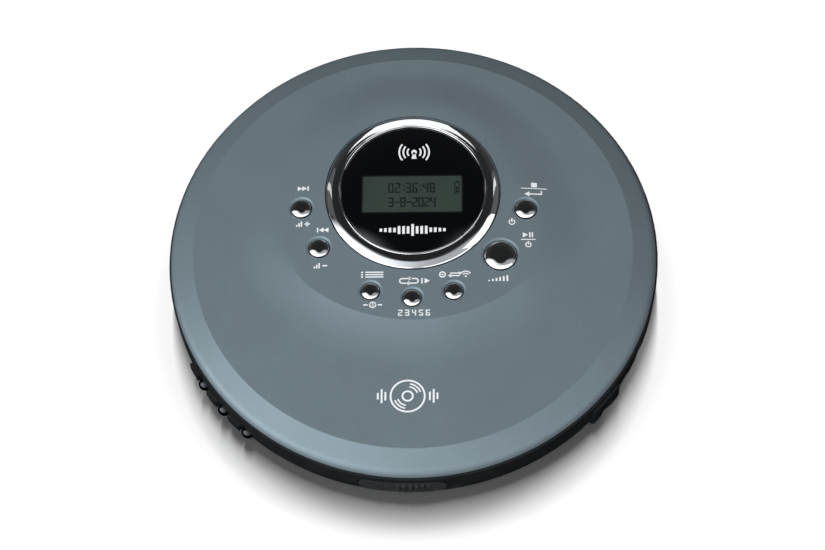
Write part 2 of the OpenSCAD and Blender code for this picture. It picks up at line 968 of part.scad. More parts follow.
module control_switches() color(white) {
  for (b = lid_buttons)
    at_button(b) {
      block([-1.8, -1.8, pcb2_top], [1.8, 1.8, pcb2_top + 0.38]);
      disc(0.9, pcb2_top + 0.3, pcb2_top + 0.48);
    }
}

// chrome dome button with a retaining flange under the cover
module lid_button(b) color(chrome) {
  r = b[2] / 2;
  rise = 0.36 * r;
  ball = (r * r + rise * rise) / (2 * rise);
  at_button(b) {
    disc(r, stem_z, dome_z);
    disc(r + 0.7, stem_z, plateau_in_z - 0.15);
    intersection() {
      translate([0, 0, dome_z + rise - ball])
      sphere(r = ball);
      disc(r, dome_z - eps, dome_z + 4);
    }
  }
}

module button_next() lid_button(next_btn);

module button_previous() lid_button(previous_btn);

module button_menu() lid_button(menu_btn);

module button_mode() lid_button(mode_btn);

module button_source() lid_button(source_btn);

module button_play() lid_button(play_btn);

module button_stop() lid_button(stop_btn);

base_shell();
disc_deck();
battery_door();
battery_cells();
battery_contacts();
battery_springs();
main_pcb();
pcb_chips();
pcb_capacitors();
io_pcb();
headphone_jack();
line_out_jack();
dc_inlet();
key_pcb();
side_switches();
button_volume_up();
button_volume_down();
button_bass();
mech_chassis();
damper_grommets();
mech_screws();
spindle_motor();
spindle_hub();
clamp_balls();
guide_rods();
sled_motor();
motor_pinion();
idler_gear();
idler_pin();
optical_sled();
sled_rack();
actuator_yoke();
lens_holder();
objective_lens();
latch_slider();
latch_spring();
lid_switch();
hinge_pin();
hinge_spring();
rubber_feet();
case_screws();
lid_cover();
lid_liner();
lid_screws();
display_bezel();
display_window();
lcd_panel();
lcd_backlight();
control_pcb();
control_switches();
button_next();
button_previous();
button_menu();
button_mode();
button_source();
button_play();
button_stop();
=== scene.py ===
import json
import math

import bmesh
import bpy
from mathutils import Matrix, Vector, geometry

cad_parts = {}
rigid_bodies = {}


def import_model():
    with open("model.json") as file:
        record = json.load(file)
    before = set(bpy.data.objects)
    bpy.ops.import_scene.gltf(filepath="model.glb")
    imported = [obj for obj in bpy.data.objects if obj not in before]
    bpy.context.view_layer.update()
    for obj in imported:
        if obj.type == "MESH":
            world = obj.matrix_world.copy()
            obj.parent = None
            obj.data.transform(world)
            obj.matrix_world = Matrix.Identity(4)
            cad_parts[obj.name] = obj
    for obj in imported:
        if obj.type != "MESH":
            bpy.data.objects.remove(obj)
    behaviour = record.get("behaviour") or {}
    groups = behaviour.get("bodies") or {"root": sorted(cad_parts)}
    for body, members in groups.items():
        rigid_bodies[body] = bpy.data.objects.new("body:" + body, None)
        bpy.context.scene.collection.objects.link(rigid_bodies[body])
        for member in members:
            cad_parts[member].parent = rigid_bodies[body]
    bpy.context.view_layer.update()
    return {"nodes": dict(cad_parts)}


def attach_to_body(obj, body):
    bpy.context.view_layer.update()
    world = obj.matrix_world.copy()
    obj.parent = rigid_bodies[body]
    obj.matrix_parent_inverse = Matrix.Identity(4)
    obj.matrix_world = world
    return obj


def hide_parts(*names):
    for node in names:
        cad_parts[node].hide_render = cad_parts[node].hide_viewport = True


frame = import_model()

MM = 0.001
TAU = math.tau
NODES = frame["nodes"]
scene = bpy.context.scene
scene.view_settings.view_transform = "Standard"
scene.view_settings.look = "None"

# ---------------------------------------------------------------- sizes, mm
LID_R = 70.0
LID_Z = 20.0
RIDGE_R = 63.05
FIELD_Z = 24.8
RISE = 1.9
HUB = (0.0, 14.0)            # centre that the raised area is drawn round
BEZEL = (0.0, 16.8)
BEZEL_R = 25.1
BEZEL_HOLE = 25.5
GLASS_R = 20.7
GLASS_Z = 28.1
BUTTON_GAP = 0.3
FLANGE_LOW, FLANGE_TOP = 24.97, 25.42     # flange under each button
FLANGE_REACH = 1.6           # how far past a recess the underside is kept clear
FLANGE_CLEAR = 0.07          # gap between that flange and the underside of the cover
RECESS_W, RECESS_D = 0.62, 0.4
BUTTONS = {                  # azimuth, distance from the display centre, diameter
    "next": (189.0, 32.6, 5.8),
    "previous": (214.0, 32.3, 5.8),
    "menu": (249.7, 34.2, 5.15),
    "mode": (270.0, 34.3, 5.15),
    "source": (290.2, 34.3, 5.15),
    "play": (320.4, 32.7, 9.2),
    "stop": (349.9, 33.1, 6.1),
}


def polar(r, deg):
    return r * math.cos(math.radians(deg)), r * math.sin(math.radians(deg))


def button_xy(name):
    az, dist, _ = BUTTONS[name]
    x, y = polar(dist, az)
    return BEZEL[0] + x, BEZEL[1] + y


def clamp01(v):
    return max(0.0, min(1.0, v))


def smooth(a, b, v):
    t = clamp01((v - a) / (b - a))
    return t * t * (3.0 - 2.0 * t)


def mix(a, b, t):
    return a + (b - a) * t


LID_SKIN = 1.1               # thickness of the painted cover
ROLL_R = 3.2                 # radius of the rolled edge of the lid
ROLL_Z = 19.81               # height of the centre of that radius
SMALL_DIA, LARGE_DIA = 5.15, 9.2
DOME_FOOT = 26.58            # height where the crown of a button starts
DOME_RISE = (0.31, 0.27)     # crown height as a share of the button radius, small and large
DOME_POWER = (3.2, 3.9)      # 2 is a sphere, more is flatter in the middle
DOME_STEPS = 22
CREASE_SEGS = 240            # points round the lid
INK_LIFT = 0.025             # printed ink above the paint

# outline of the raised area: its foot, and the line where it reaches full height
FOOT_CENTRE_Y, FOOT_AXES = 9.5, (52.0, 49.0)
FOOT_BACK_R = 44.6
CREST_CENTRE, CREST_R = (0.5, 21.8), 46.3
CREST_MAX = 43.5
CREST_BACK_R = 28.5

TENT_FRONT, TENT_LEFT = 0.45, 1.8     # brightness of the light tent, straight ahead and to the left
TENT_LOW, TENT_TOP = 0.05, 0.02       # brightness elsewhere, at the horizon and overhead


# ---------------------------------------------------------------- mesh helpers
def add_object(name, mesh):
    obj = bpy.data.objects.new(name, mesh)
    scene.collection.objects.link(obj)
    return obj


def build(name, verts, faces, mat, angle=30.0, smooth_faces=True):
    """Mesh object from points in millimetres."""
    mesh = bpy.data.meshes.new(name)
    mesh.from_pydata([(x * MM, y * MM, z * MM) for x, y, z in verts], [], faces)
    mesh.validate()
    mesh.materials.append(mat)
    finish_mesh(mesh, angle, smooth_faces)
    return add_object(name, mesh)


def finish_mesh(mesh, angle=30.0, smooth_faces=True):
    bm = bmesh.new()
    bm.from_mesh(mesh)
    bmesh.ops.recalc_face_normals(bm, faces=bm.faces)
    bm.to_mesh(mesh)
    bm.free()
    if smooth_faces:
        mesh.shade_smooth()
        mesh.set_sharp_from_angle(angle=math.radians(angle))


def attach(obj, body, nodes=()):
    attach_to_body(obj, body)
    if nodes:
        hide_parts(*nodes)
    return obj


def lathe_data(profile, segs=192, centre=(0.0, 0.0), closed=True):
    """Points and faces of a profile [(r, z), ...] turned about a vertical axis."""
    verts, faces, rings = [], [], []
    for r, z in profile:
        if r < 1e-6:
            rings.append([len(verts)])
            verts.append((centre[0], centre[1], z))
            continue
        start = len(verts)
        for i in range(segs):
            a = TAU * i / segs
            verts.append((centre[0] + r * math.cos(a), centre[1] + r * math.sin(a), z))
        rings.append(list(range(start, start + segs)))
    pairs = list(zip(rings, rings[1:]))
    if closed:
        pairs.append((rings[-1], rings[0]))
    for low, high in pairs:
        if len(low) == 1 and len(high) == 1:
            continue
        for i in range(segs):
            j = (i + 1) % segs
            if len(low) == 1:
                faces.append((low[0], high[j], high[i]))
            elif len(high) == 1:
                faces.append((low[i], low[j], high[0]))
            else:
                faces.append((low[i], low[j], high[j], high[i]))
    return verts, faces


def lathe(name, profile, mat, segs=192, centre=(0.0, 0.0), closed=True, angle=30.0):
    verts, faces = lathe_data(profile, segs, centre, closed)
    return build(name, verts, faces, mat, angle)


def arc(cx, cz, r, a0, a1, n):
    """Points of an arc in the (r, z) plane, angles in degrees."""
    return [(cx + r * math.cos(math.radians(mix(a0, a1, i / n))),
             cz + r * math.sin(math.radians(mix(a0, a1, i / n)))) for i in range(n + 1)]


# ---------------------------------------------------------------- materials
class Tree:
    """Short way to write a node material."""

    def __init__(self, name):
        self.mat = bpy.data.materials.new(name)
        self.mat.use_nodes = True
        self.nodes = self.mat.node_tree.nodes
        self.links = self.mat.node_tree.links
        self.nodes.clear()
        self.out = self.nodes.new("ShaderNodeOutputMaterial")
        self.bsdf = self.nodes.new("ShaderNodeBsdfPrincipled")
        self.links.new(self.bsdf.outputs[0], self.out.inputs[0])
        coord = self.nodes.new("ShaderNodeTexCoord")
        self.coord = coord.outputs["Object"]

    def set(self, **values):
        for key, value in values.items():
            self.bsdf.inputs[key.replace("_", " ")].default_value = value
        return self

    def noise(self, scale, detail=3.0, rough=0.55, stretch=None):
        node = self.nodes.new("ShaderNodeTexNoise")
        node.inputs["Scale"].default_value = scale
        node.inputs["Detail"].default_value = detail
        node.inputs["Roughness"].default_value = rough
        vec = self.coord
        if stretch:
            mapping = self.nodes.new("ShaderNodeMapping")
            mapping.inputs["Scale"].default_value = stretch
            self.links.new(vec, mapping.inputs["Vector"])
            vec = mapping.outputs["Vector"]
        self.links.new(vec, node.inputs["Vector"])
        return node.outputs["Fac"]

    def cells(self, scale):
        node = self.nodes.new("ShaderNodeTexVoronoi")
        node.inputs["Scale"].default_value = scale
        self.links.new(self.coord, node.inputs["Vector"])
        return node

    def ramp(self, fac, low, high, a=0.3, b=0.7):
        node = self.nodes.new("ShaderNodeValToRGB")
        node.color_ramp.elements[0].position = a
        node.color_ramp.elements[1].position = b
        node.color_ramp.elements[0].color = (*low, 1.0)
        node.color_ramp.elements[1].color = (*high, 1.0)
        self.links.new(fac, node.inputs["Fac"])
        return node.outputs["Color"]

    def span(self, fac, low, high, a=0.3, b=0.7):
        node = self.nodes.new("ShaderNodeMapRange")
        node.inputs["From Min"].default_value = a
        node.inputs["From Max"].default_value = b
        node.inputs["To Min"].default_value = low
        node.inputs["To Max"].default_value = high
        self.links.new(fac, node.inputs["Value"])
        return node.outputs["Result"]

    def bump(self, height, strength, distance):
        node = self.nodes.new("ShaderNodeBump")
        node.inputs["Strength"].default_value = strength
        node.inputs["Distance"].default_value = distance
        self.links.new(height, node.inputs["Height"])
        self.links.new(node.outputs["Normal"], self.bsdf.inputs["Normal"])
        return self

    def link(self, socket, name):
        self.links.new(socket, self.bsdf.inputs[name])
        return self


def scaled(color, k):
    return tuple(c * k for c in color)


def paint(name, color, metallic, rough, flake=0.06):
    """Metallic paint: fine flakes, soft colour drift and a slight orange peel."""
    t = Tree(name)
    t.set(Metallic=metallic)
    flakes = t.cells(5200.0)
    drift = t.noise(60.0, 2.0)
    base = t.ramp(drift, scaled(color, 0.97), scaled(color, 1.03))
    speck = t.ramp(flakes.outputs["Color"], (1.0 - flake,) * 3, (1.0 + flake,) * 3, 0.1, 0.9)
    mult = t.nodes.new("ShaderNodeMix")
    mult.data_type = "RGBA"
    mult.blend_type = "MULTIPLY"
    mult.inputs["Factor"].default_value = 1.0
    t.links.new(base, mult.inputs["A"])
    t.links.new(speck, mult.inputs["B"])
    t.link(mult.outputs["Result"], "Base Color")
    t.link(t.span(t.noise(900.0, 2.0), rough - 0.03, rough + 0.03), "Roughness")
    t.bump(t.noise(1500.0, 1.5), 0.12, 0.00002)
    return t.mat


def moulded(name, color, rough, grain=2600.0, depth=0.00003, strength=0.5, spec=0.5):
    """Moulded plastic with a fine spark-eroded texture and slight handling wear."""
    t = Tree(name)
    t.set(Specular_IOR_Level=spec)
    wear = t.noise(90.0, 4.0)
    t.link(t.ramp(wear, scaled(color, 0.85), scaled(color, 1.18)), "Base Color")
    t.link(t.span(t.noise(220.0, 3.0), rough - 0.06, rough + 0.06), "Roughness")
    t.bump(t.noise(grain, 2.0), strength, depth)
    return t.mat


def plated(name, color, rough, brushed=None, dirt=0.03):
    """Plated or bare metal, with faint wipe marks, or brushed along one axis."""
    t = Tree(name)
    t.set(Metallic=1.0)
    marks = t.noise(400.0, 4.0, 0.6, brushed)
    t.link(t.ramp(marks, scaled(color, 0.95), scaled(color, 1.0)), "Base Color")
    t.link(t.span(marks, rough, rough + dirt), "Roughness")
    t.bump(marks, 0.04 if not brushed else 0.25, 0.00001)
    return t.mat


def gloss(name, color, rough=0.03):
    """Smooth black or tinted window plastic with dust and faint wipe streaks."""
    t = Tree(name)
    t.set(Coat_Weight=1.0, Coat_Roughness=0.02, Specular_IOR_Level=0.5)
    t.link(t.ramp(t.noise(35.0, 3.0), scaled(color, 0.8), scaled(color, 1.2)), "Base Color")
    t.link(t.span(t.noise(160.0, 5.0), rough, rough + 0.04), "Roughness")
    return t.mat


def ink(name, color):
    """Screen-printed ink with slight unevenness."""
    t = Tree(name)
    t.link(t.ramp(t.noise(1800.0, 3.0), scaled(color, 0.9), color), "Base Color")
    t.link(t.span(t.noise(500.0, 2.0), 0.5, 0.62), "Roughness")
    return t.mat


LID_COLOR = (0.298, 0.376, 0.42)
M_LID = paint("lid_paint", LID_COLOR, 0.6, 0.5)
M_CASE = moulded("case_plastic", (0.014, 0.016, 0.018), 0.45, 2600.0, 0.00003, 0.5, 0.3)
# latch plastic kept lighter than the case plastic: a painted highlight standing in for the light on the
# latch's edges
M_LATCH_PAINTED_HIGHLIGHT = moulded("latch_plastic_painted_highlight", (0.034, 0.037, 0.040), 0.38, 2600.0, 0.00003, 0.5, 0.4)
M_DECK = moulded("deck_plastic", (0.026, 0.028, 0.031), 0.36, 3200.0)
M_CHROME = plated("chrome_plate", (0.86, 0.87, 0.89), 0.035)
M_DOME = plated("dome_plate", (0.80, 0.80, 0.80), 0.06)
M_KNOB = plated("dark_chrome", (0.085, 0.09, 0.095), 0.14)
M_NICKEL = plated("nickel_plate", (0.66, 0.65, 0.62), 0.16)
M_STEEL = plated("pressed_steel", (0.52, 0.53, 0.55), 0.28, (1.0, 18.0, 18.0), 0.12)
M_SCREW = plated("blackened_steel", (0.10, 0.10, 0.11), 0.3, None, 0.1)
M_BRASS = plated("brass", (0.78, 0.58, 0.27), 0.2, None, 0.1)
M_CAN = plated("drawn_can", (0.62, 0.62, 0.64), 0.24, (12.0, 12.0, 1.0), 0.1)
M_GLASS = gloss("window_black", (0.0018, 0.002, 0.0024))
M_LCD = gloss("lcd_glass", (0.042, 0.058, 0.050), 0.12)
M_LCD_INK = ink("lcd_segments", (0.005, 0.007, 0.006))
M_FRAME = gloss("lcd_frame", (0.010, 0.012, 0.012), 0.1)
M_INK = ink("label_ink", (0.93, 0.96, 0.98))
M_WHITE = moulded("white_acetal", (0.72, 0.71, 0.67), 0.42, 2000.0, 0.00001)
M_GREY = moulded("switch_grey", (0.42, 0.42, 0.40), 0.45, 2000.0, 0.00001)
M_RUBBER = moulded("foot_rubber", (0.020, 0.020, 0.021), 0.82, 1500.0, 0.00004, 0.8, 0.25)


def circuit_board():
    t = Tree("circuit_board")
    t.set(Coat_Weight=0.4, Coat_Roughness=0.15)
    tracks = t.nodes.new("ShaderNodeTexBrick")
    tracks.inputs["Scale"].default_value = 260.0
    tracks.inputs["Mortar Size"].default_value = 0.035
    tracks.inputs["Color1"].default_value = (0.012, 0.085, 0.034, 1)
    tracks.inputs["Color2"].default_value = (0.016, 0.105, 0.042, 1)
    tracks.inputs["Mortar"].default_value = (0.045, 0.20, 0.075, 1)
    t.links.new(t.coord, tracks.inputs["Vector"])
    t.link(tracks.outputs["Color"], "Base Color")
    t.link(t.span(t.noise(300.0), 0.32, 0.42), "Roughness")
    t.bump(tracks.outputs["Fac"], 0.3, 0.00003)
    return t.mat


M_BOARD = circuit_board()


def battery_wrap():
    """Cell wrap: dark body with a copper band near the button end."""
    t = Tree("cell_wrap")
    split = t.nodes.new("ShaderNodeSeparateXYZ")
    t.links.new(t.coord, split.inputs[0])
    band = t.nodes.new("ShaderNodeMath")
    band.operation = "ABSOLUTE"
    t.links.new(split.outputs["X"], band.inputs[0])
    t.link(t.ramp(band.outputs[0], (0.035, 0.037, 0.042), (0.62, 0.36, 0.15), 0.0142, 0.0144), "Base Color")
    t.set(Metallic=0.75)
    t.link(t.span(t.noise(300.0), 0.25, 0.36), "Roughness")
    return t.mat


M_CELL = battery_wrap()


def lens_coat():
    t = Tree("lens_coat")
    t.set(Coat_Weight=1.0, Coat_Roughness=0.01, Metallic=0.6)
    t.link(t.ramp(t.noise(500.0), (0.05, 0.08, 0.30), (0.10, 0.07, 0.34)), "Base Color")
    t.link(t.span(t.noise(200.0), 0.05, 0.09), "Roughness")
    return t.mat


M_LENS = lens_coat()


# ---------------------------------------------------------------- lid surface
def ray_circle(theta, cx, cy, r):
    """Distance from HUB along theta to a circle that encloses it."""
    dx, dy = math.cos(theta), math.sin(theta)
    ox, oy = HUB[0] - cx, HUB[1] - cy
    b = ox * dx + oy * dy
    return -b + math.sqrt(b * b - (ox * ox + oy * oy - r * r))


def front_weight(theta, low=-0.85, high=-0.2):
    """1 over the front of the raised area, 0 over its back."""
    return 1.0 - smooth(low, high, math.sin(theta))


def rho_outer(theta):
    """Distance from HUB to the foot of the raised area: an ellipse in front, a circle behind."""
    s, c = math.sin(theta), math.cos(theta)
    ax, ay = FOOT_AXES
    oy = HUB[1] - FOOT_CENTRE_Y
    qa = (c / ax) ** 2 + (s / ay) ** 2
    qb = oy * s / ay ** 2
    qc = (oy / ay) ** 2 - 1.0
    front = (-qb + math.sqrt(qb * qb - qa * qc)) / qa
    return mix(FOOT_BACK_R, front, front_weight(theta, -0.45, 0.5))


def rho_inner(theta):
    """Distance from HUB to the line where the raised area reaches its full height."""
    front = min(ray_circle(theta, *CREST_CENTRE, CREST_R), CREST_MAX)
    back = ray_circle(theta, *BEZEL, CREST_BACK_R)
    return mix(back, front, front_weight(theta, -0.7, 0.3))


def lid_height(x, y):
    """Height of the painted top inside the ridge, without the button recesses."""
    dx, dy = x - HUB[0], y - HUB[1]
    rho = math.hypot(dx, dy)
    theta = math.atan2(dy, dx)
    outer, inner = rho_outer(theta), rho_inner(theta)
    t = clamp01((outer - rho) / (outer - inner))
    w = front_weight(theta)
    rounded = 0.2 * (1.0 - (1.0 - t) ** 2) + 0.8 * t * t * (3.0 - 2.0 * t)
    shape = w * t * t + (1.0 - w) * rounded
    top = RISE - 0.35 * (x / 40.0) ** 2 * smooth(20.0, 36.0, rho)
    return FIELD_Z + top * shape


def recess(x, y):
    """Depth of the conical recess round each button."""
    depth = 0.0
    for name, (_, _, dia) in BUTTONS.items():
        bx, by = button_xy(name)
        d = math.hypot(x - bx, y - by)
        r_in = dia / 2.0 + BUTTON_GAP
        r_out = r_in + RECESS_W
        if d < r_out:
            depth = max(depth, RECESS_D * clamp01((r_out - d) / (r_out - r_in)))
    return depth


def lid_z(x, y):
    return lid_height(x, y) - recess(x, y)


def lid_shell():
    """Painted cover: a field meshed along its creases, a chamfered rim and a thin wall."""
    segs = CREASE_SEGS
    points, edges = [], []

    def loop(coords):
        start = len(points)
        points.extend(Vector(c) for c in coords)
        n = len(coords)
        edges.extend((start + i, start + (i + 1) % n) for i in range(n))

    ridge = [(RIDGE_R * math.cos(TAU * i / segs), RIDGE_R * math.sin(TAU * i / segs))
             for i in range(segs)]
    loop(ridge)
    hole = [(BEZEL[0] + BEZEL_HOLE * math.cos(TAU * i / 160),
             BEZEL[1] + BEZEL_HOLE * math.sin(TAU * i / 160)) for i in range(160)]
    loop(hole)
    creases = []
    for fn in (rho_outer, rho_inner):
        ring = []
        for i in range(segs):
            a = TAU * i / segs
            ring.append((HUB[0] + fn(a) * math.cos(a), HUB[1] + fn(a) * math.sin(a)))
        creases.append(ring)
        loop(ring)
    cones = []
    for name, (_, _, dia) in BUTTONS.items():
        bx, by = button_xy(name)
        r_in = dia / 2.0 + BUTTON_GAP
        r_out = r_in + RECESS_W
        for r in (r_in, r_out):
            loop([(bx + r * math.cos(TAU * i / 64), by + r * math.sin(TAU * i / 64)) for i in range(64)])
        loop([(bx + (r_out + 0.5) * math.cos(TAU * (i + 0.5) / 48),
               by + (r_out + 0.5) * math.sin(TAU * (i + 0.5) / 48)) for i in range(48)])
        cones.append((bx, by, r_in, r_out + 0.9))
    # grid points between the loops, on rays from HUB
    for i in range(segs):
        a = TAU * i / segs
        c, s = math.cos(a), math.sin(a)
        inner, outer = rho_inner(a), rho_outer(a)
        rim = ray_circle(a, 0.0, 0.0, RIDGE_R)
        start = ray_circle(a, BEZEL[0], BEZEL[1], BEZEL_HOLE)
        for lo, hi, count in ((start, inner, 9), (inner, outer, 9), (outer, rim, 8)):
            for k in range(1, count):
                rho = mix(lo, hi, k / count)
                x, y = HUB[0] + rho * c, HUB[1] + rho * s
                if hi - lo < 1.0:
                    continue
                if any(math.hypot(x - bx, y - by) < r for bx, by, _, r in cones):
                    continue
                points.append(Vector((x, y)))
    out = geometry.delaunay_2d_cdt(points, edges, [], 0, 1e-4)
    co, tris = out[0], out[2]
    keep = []
    for tri in tris:
        cx = sum(co[i].x for i in tri) / 3.0
        cy = sum(co[i].y for i in tri) / 3.0
        if math.hypot(cx, cy) > RIDGE_R or math.hypot(cx - BEZEL[0], cy - BEZEL[1]) < BEZEL_HOLE:
            continue
        if any(math.hypot(cx - bx, cy - by) < r_in for bx, by, r_in, _ in cones):
            continue
        keep.append(tuple(tri))
    verts = [(p.x, p.y, lid_z(p.x, p.y)) for p in co]
    # rim profile, from the ridge outward and down
    rim = [(RIDGE_R + 0.12, FIELD_Z - 0.03), (65.0, 24.01), (66.8, 23.27)]
    rim += arc(LID_R - ROLL_R, ROLL_Z, ROLL_R, 67.5, 6, 16)
    rim += [(LID_R - 0.06, LID_Z + 0.03), (LID_R - 0.2, LID_Z), (LID_R - 0.7, LID_Z)]
    base = len(verts)
    for r, z in rim:
        for i in range(segs):
            a = TAU * i / segs
            verts.append((r * math.cos(a), r * math.sin(a), z))
    # the ridge loop keeps its place in the triangulation
    index = {(round(v[0], 3), round(v[1], 3)): k for k, v in enumerate(verts[:base])}
    first = [index[(round(x, 3), round(y, 3))] for x, y in ridge]
    rings = [first] + [list(range(base + k * segs, base + (k + 1) * segs)) for k in range(len(rim))]
    faces = list(keep)
    for low, high in zip(rings, rings[1:]):
        for i in range(segs):
            j = (i + 1) % segs
            faces.append((low[i], high[i], high[j], low[j]))
    used = sorted({i for f in faces for i in f})
    remap = {old: new for new, old in enumerate(used)}
    verts = [verts[i] for i in used]
    faces = [tuple(remap[i] for i in f) for f in faces]
    return thicken("lid_shell", verts, faces, LID_SKIN, M_LID)


def underside_floor(x, y):
    """Lowest height of the cover's underside: it stays clear of the flange of each button."""
    for name, (_, _, dia) in BUTTONS.items():
        bx, by = button_xy(name)
        if math.hypot(x - bx, y - by) < dia / 2.0 + BUTTON_GAP + RECESS_W + FLANGE_REACH:
            return FLANGE_TOP + FLANGE_CLEAR
    return -1.0


def thicken(name, verts, faces, depth, mat):
    """Closed shell: the given surface, a copy offset inward, and walls along every open edge."""
    bm = bmesh.new()
    vs = [bm.verts.new((x * MM, y * MM, z * MM)) for x, y, z in verts]
    for f in faces:
        try:
            bm.faces.new([vs[i] for i in f])
        except ValueError:
            pass
    bm.normal_update()
    up = sum(f.normal.z * f.calc_area() for f in bm.faces)
    if up < 0:
        bmesh.ops.reverse_faces(bm, faces=bm.faces)
    bm.normal_update()
    outer_faces = list(bm.faces)
    low = {}
    for v in list(bm.verts):
        n = v.normal
        co = v.co - Vector((n.x * 0.8, n.y * 0.8, max(n.z, 0.25))) * depth * MM
        co.z = max(co.z, underside_floor(v.co.x / MM, v.co.y / MM) * MM)
        low[v] = bm.verts.new(co)
    for f in outer_faces:
        bm.faces.new([low[v] for v in reversed(f.verts)])
    for e in [e for e in bm.edges if len(e.link_faces) == 1 and e.verts[0] in low]:
        face = e.link_faces[0]
        loop = next(l for l in face.loops if l.edge is e)
        a, b = loop.vert, loop.link_loop_next.vert
        bm.faces.new((b, a, low[a], low[b]))
    mesh = bpy.data.meshes.new(name)
    bm.to_mesh(mesh)
    bm.free()
    mesh.materials.append(mat)
    mesh.shade_smooth()
    mesh.set_sharp_from_angle(angle=math.radians(7.0))
    return add_object(name, mesh)


attach(lid_shell(), "lid", ["lid_cover"])


# ---------------------------------------------------------------- chrome ring and window
def display():
    x, y = BEZEL
    # flange under the cover, sloping flank, crease, gently rising face, rolled inner lip
    z = 26.85
    profile = [(GLASS_R + 1.4, 25.1), (BEZEL_R + 1.1, 25.1), (BEZEL_R + 1.1, 25.5), (BEZEL_R, 25.5)]
    profile += [(BEZEL_R, z - 0.05), (BEZEL_R - 0.05, z + 0.03)]
    profile += [(BEZEL_R - 0.05 - 2.15 * k / 7, z + 0.03 + 1.17 * math.sin(math.radians(76.0 * k / 7)) / 0.97)
                for k in range(1, 8)]
    profile += [(BEZEL_R - 2.32, z + 1.235), (BEZEL_R - 2.9, z + 1.30)]
    profile += [(BEZEL_R - 3.5, z + 1.36), (BEZEL_R - 3.56, z + 1.3)]
    profile += arc(GLASS_R + 0.40, z + 1.24, 0.27, 25, 180, 10)
    profile += [(GLASS_R + 0.1, GLASS_Z - 0.5), (GLASS_R + 1.4, GLASS_Z - 0.5)]
    ring = lathe("chrome_ring", profile, M_CHROME, 256, BEZEL, True, 24.0)
    attach(ring, "lid", ["display_bezel"])
    glass = [(0.0, GLASS_Z), (12.0, GLASS_Z), (GLASS_R - 0.25, GLASS_Z - 0.01), (GLASS_R, GLASS_Z - 0.2),
             (GLASS_R, 26.3), (0.0, 26.3)]
    return lathe("window", glass, M_GLASS, 256, BEZEL, False, 40.0)


def rounded_rect(cx, cy, w, h, r, n=6):
    pts = []
    for sx, sy, a0 in ((1, 1, 0), (-1, 1, 90), (-1, -1, 180), (1, -1, 270)):
        for i in range(n + 1):
            a = math.radians(a0 + 90.0 * i / n)
            pts.append((cx + sx * (w / 2 - r) + r * math.cos(a), cy + sy * (h / 2 - r) + r * math.sin(a)))
    return pts


def plate(name, outline, z0, z1, mat, holes=()):
    """Flat plate from an outline, with holes, between two heights."""
    pts = [Vector(p) for p in outline]
    edges = [(i, (i + 1) % len(outline)) for i in range(len(outline))]
    for hole in holes:
        s = len(pts)
        pts += [Vector(p) for p in hole]
        edges += [(s + i, s + (i + 1) % len(hole)) for i in range(len(hole))]
    co, _, tris = geometry.delaunay_2d_cdt(pts, edges, [], 0, 1e-5)[:3]

    def inside(p, poly):
        hit = False
        for (x0, y0), (x1, y1) in zip(poly, poly[1:] + poly[:1]):
            if (y0 > p[1]) != (y1 > p[1]) and p[0] < (x1 - x0) * (p[1] - y0) / (y1 - y0) + x0:
                hit = not hit
        return hit

    keep = []
    for t in tris:
        c = (sum(co[i].x for i in t) / 3, sum(co[i].y for i in t) / 3)
        if inside(c, list(outline)) and not any(inside(c, list(h)) for h in holes):
            keep.append(t)
    bm = bmesh.new()
    top = [bm.verts.new((p.x * MM, p.y * MM, z1 * MM)) for p in co]
    low = [bm.verts.new((p.x * MM, p.y * MM, z0 * MM)) for p in co]
    for t in keep:
        bm.faces.new([top[i] for i in t])
        bm.faces.new([low[i] for i in reversed(t)])
    count = {}
    for t in keep:
        for a, b in ((t[0], t[1]), (t[1], t[2]), (t[2], t[0])):
            count[(a, b)] = 1
    for a, b in list(count):
        if (b, a) not in count:
            bm.faces.new((top[b], top[a], low[a], low[b]))
    bmesh.ops.delete(bm, geom=[v for v in bm.verts if not v.link_faces], context="VERTS")
    mesh = bpy.data.meshes.new(name)
    bm.to_mesh(mesh)
    bm.free()
    mesh.materials.append(mat)
    finish_mesh(mesh)
    return add_object(name, mesh)


attach(display(), "lid", ["display_window"])

LCD_C = (BEZEL[0] - 0.1, BEZEL[1] - 1.55)
LCD_W, LCD_H = 28.6, 11.8
lcd_frame = plate("lcd_rim", rounded_rect(*LCD_C, LCD_W + 0.7, LCD_H + 0.7, 0.7),
                  GLASS_Z - 0.03, GLASS_Z + 0.015, M_FRAME,
                  [rounded_rect(*LCD_C, LCD_W - 0.1, LCD_H - 0.1, 0.5)])
attach(lcd_frame, "lid")
lcd = plate("lcd_face", rounded_rect(*LCD_C, LCD_W, LCD_H, 0.5), GLASS_Z - 0.2, GLASS_Z + 0.01, M_LCD)
attach(lcd, "lid")


# ---------------------------------------------------------------- flat marks
def disc_poly(cx, cy, r, n):
    return [(cx + r * math.cos(math.radians(360.0 * (i / n))),
             cy + r * math.sin(math.radians(360.0 * (i / n)))) for i in range(n)]


def band(cx, cy, r0, r1, a0, a1, n=24):
    """Quads of a ring sector."""
    quads = []
    for i in range(n):
        p, q = math.radians(mix(a0, a1, i / n)), math.radians(mix(a0, a1, (i + 1) / n))
        quads.append([(cx + r * math.cos(a), cy + r * math.sin(a))
                      for r, a in ((r0, p), (r1, p), (r1, q), (r0, q))])
    return quads


def bar(x0, y0, x1, y1):
    return [(x0, y0), (x1, y0), (x1, y1), (x0, y1)]


def stroke(x0, y0, x1, y1, w):
    d = math.hypot(x1 - x0, y1 - y0)
    nx, ny = -(y1 - y0) / d * w / 2, (x1 - x0) / d * w / 2
    return [(x0 + nx, y0 + ny), (x0 - nx, y0 - ny), (x1 - nx, y1 - ny), (x1 + nx, y1 + ny)]


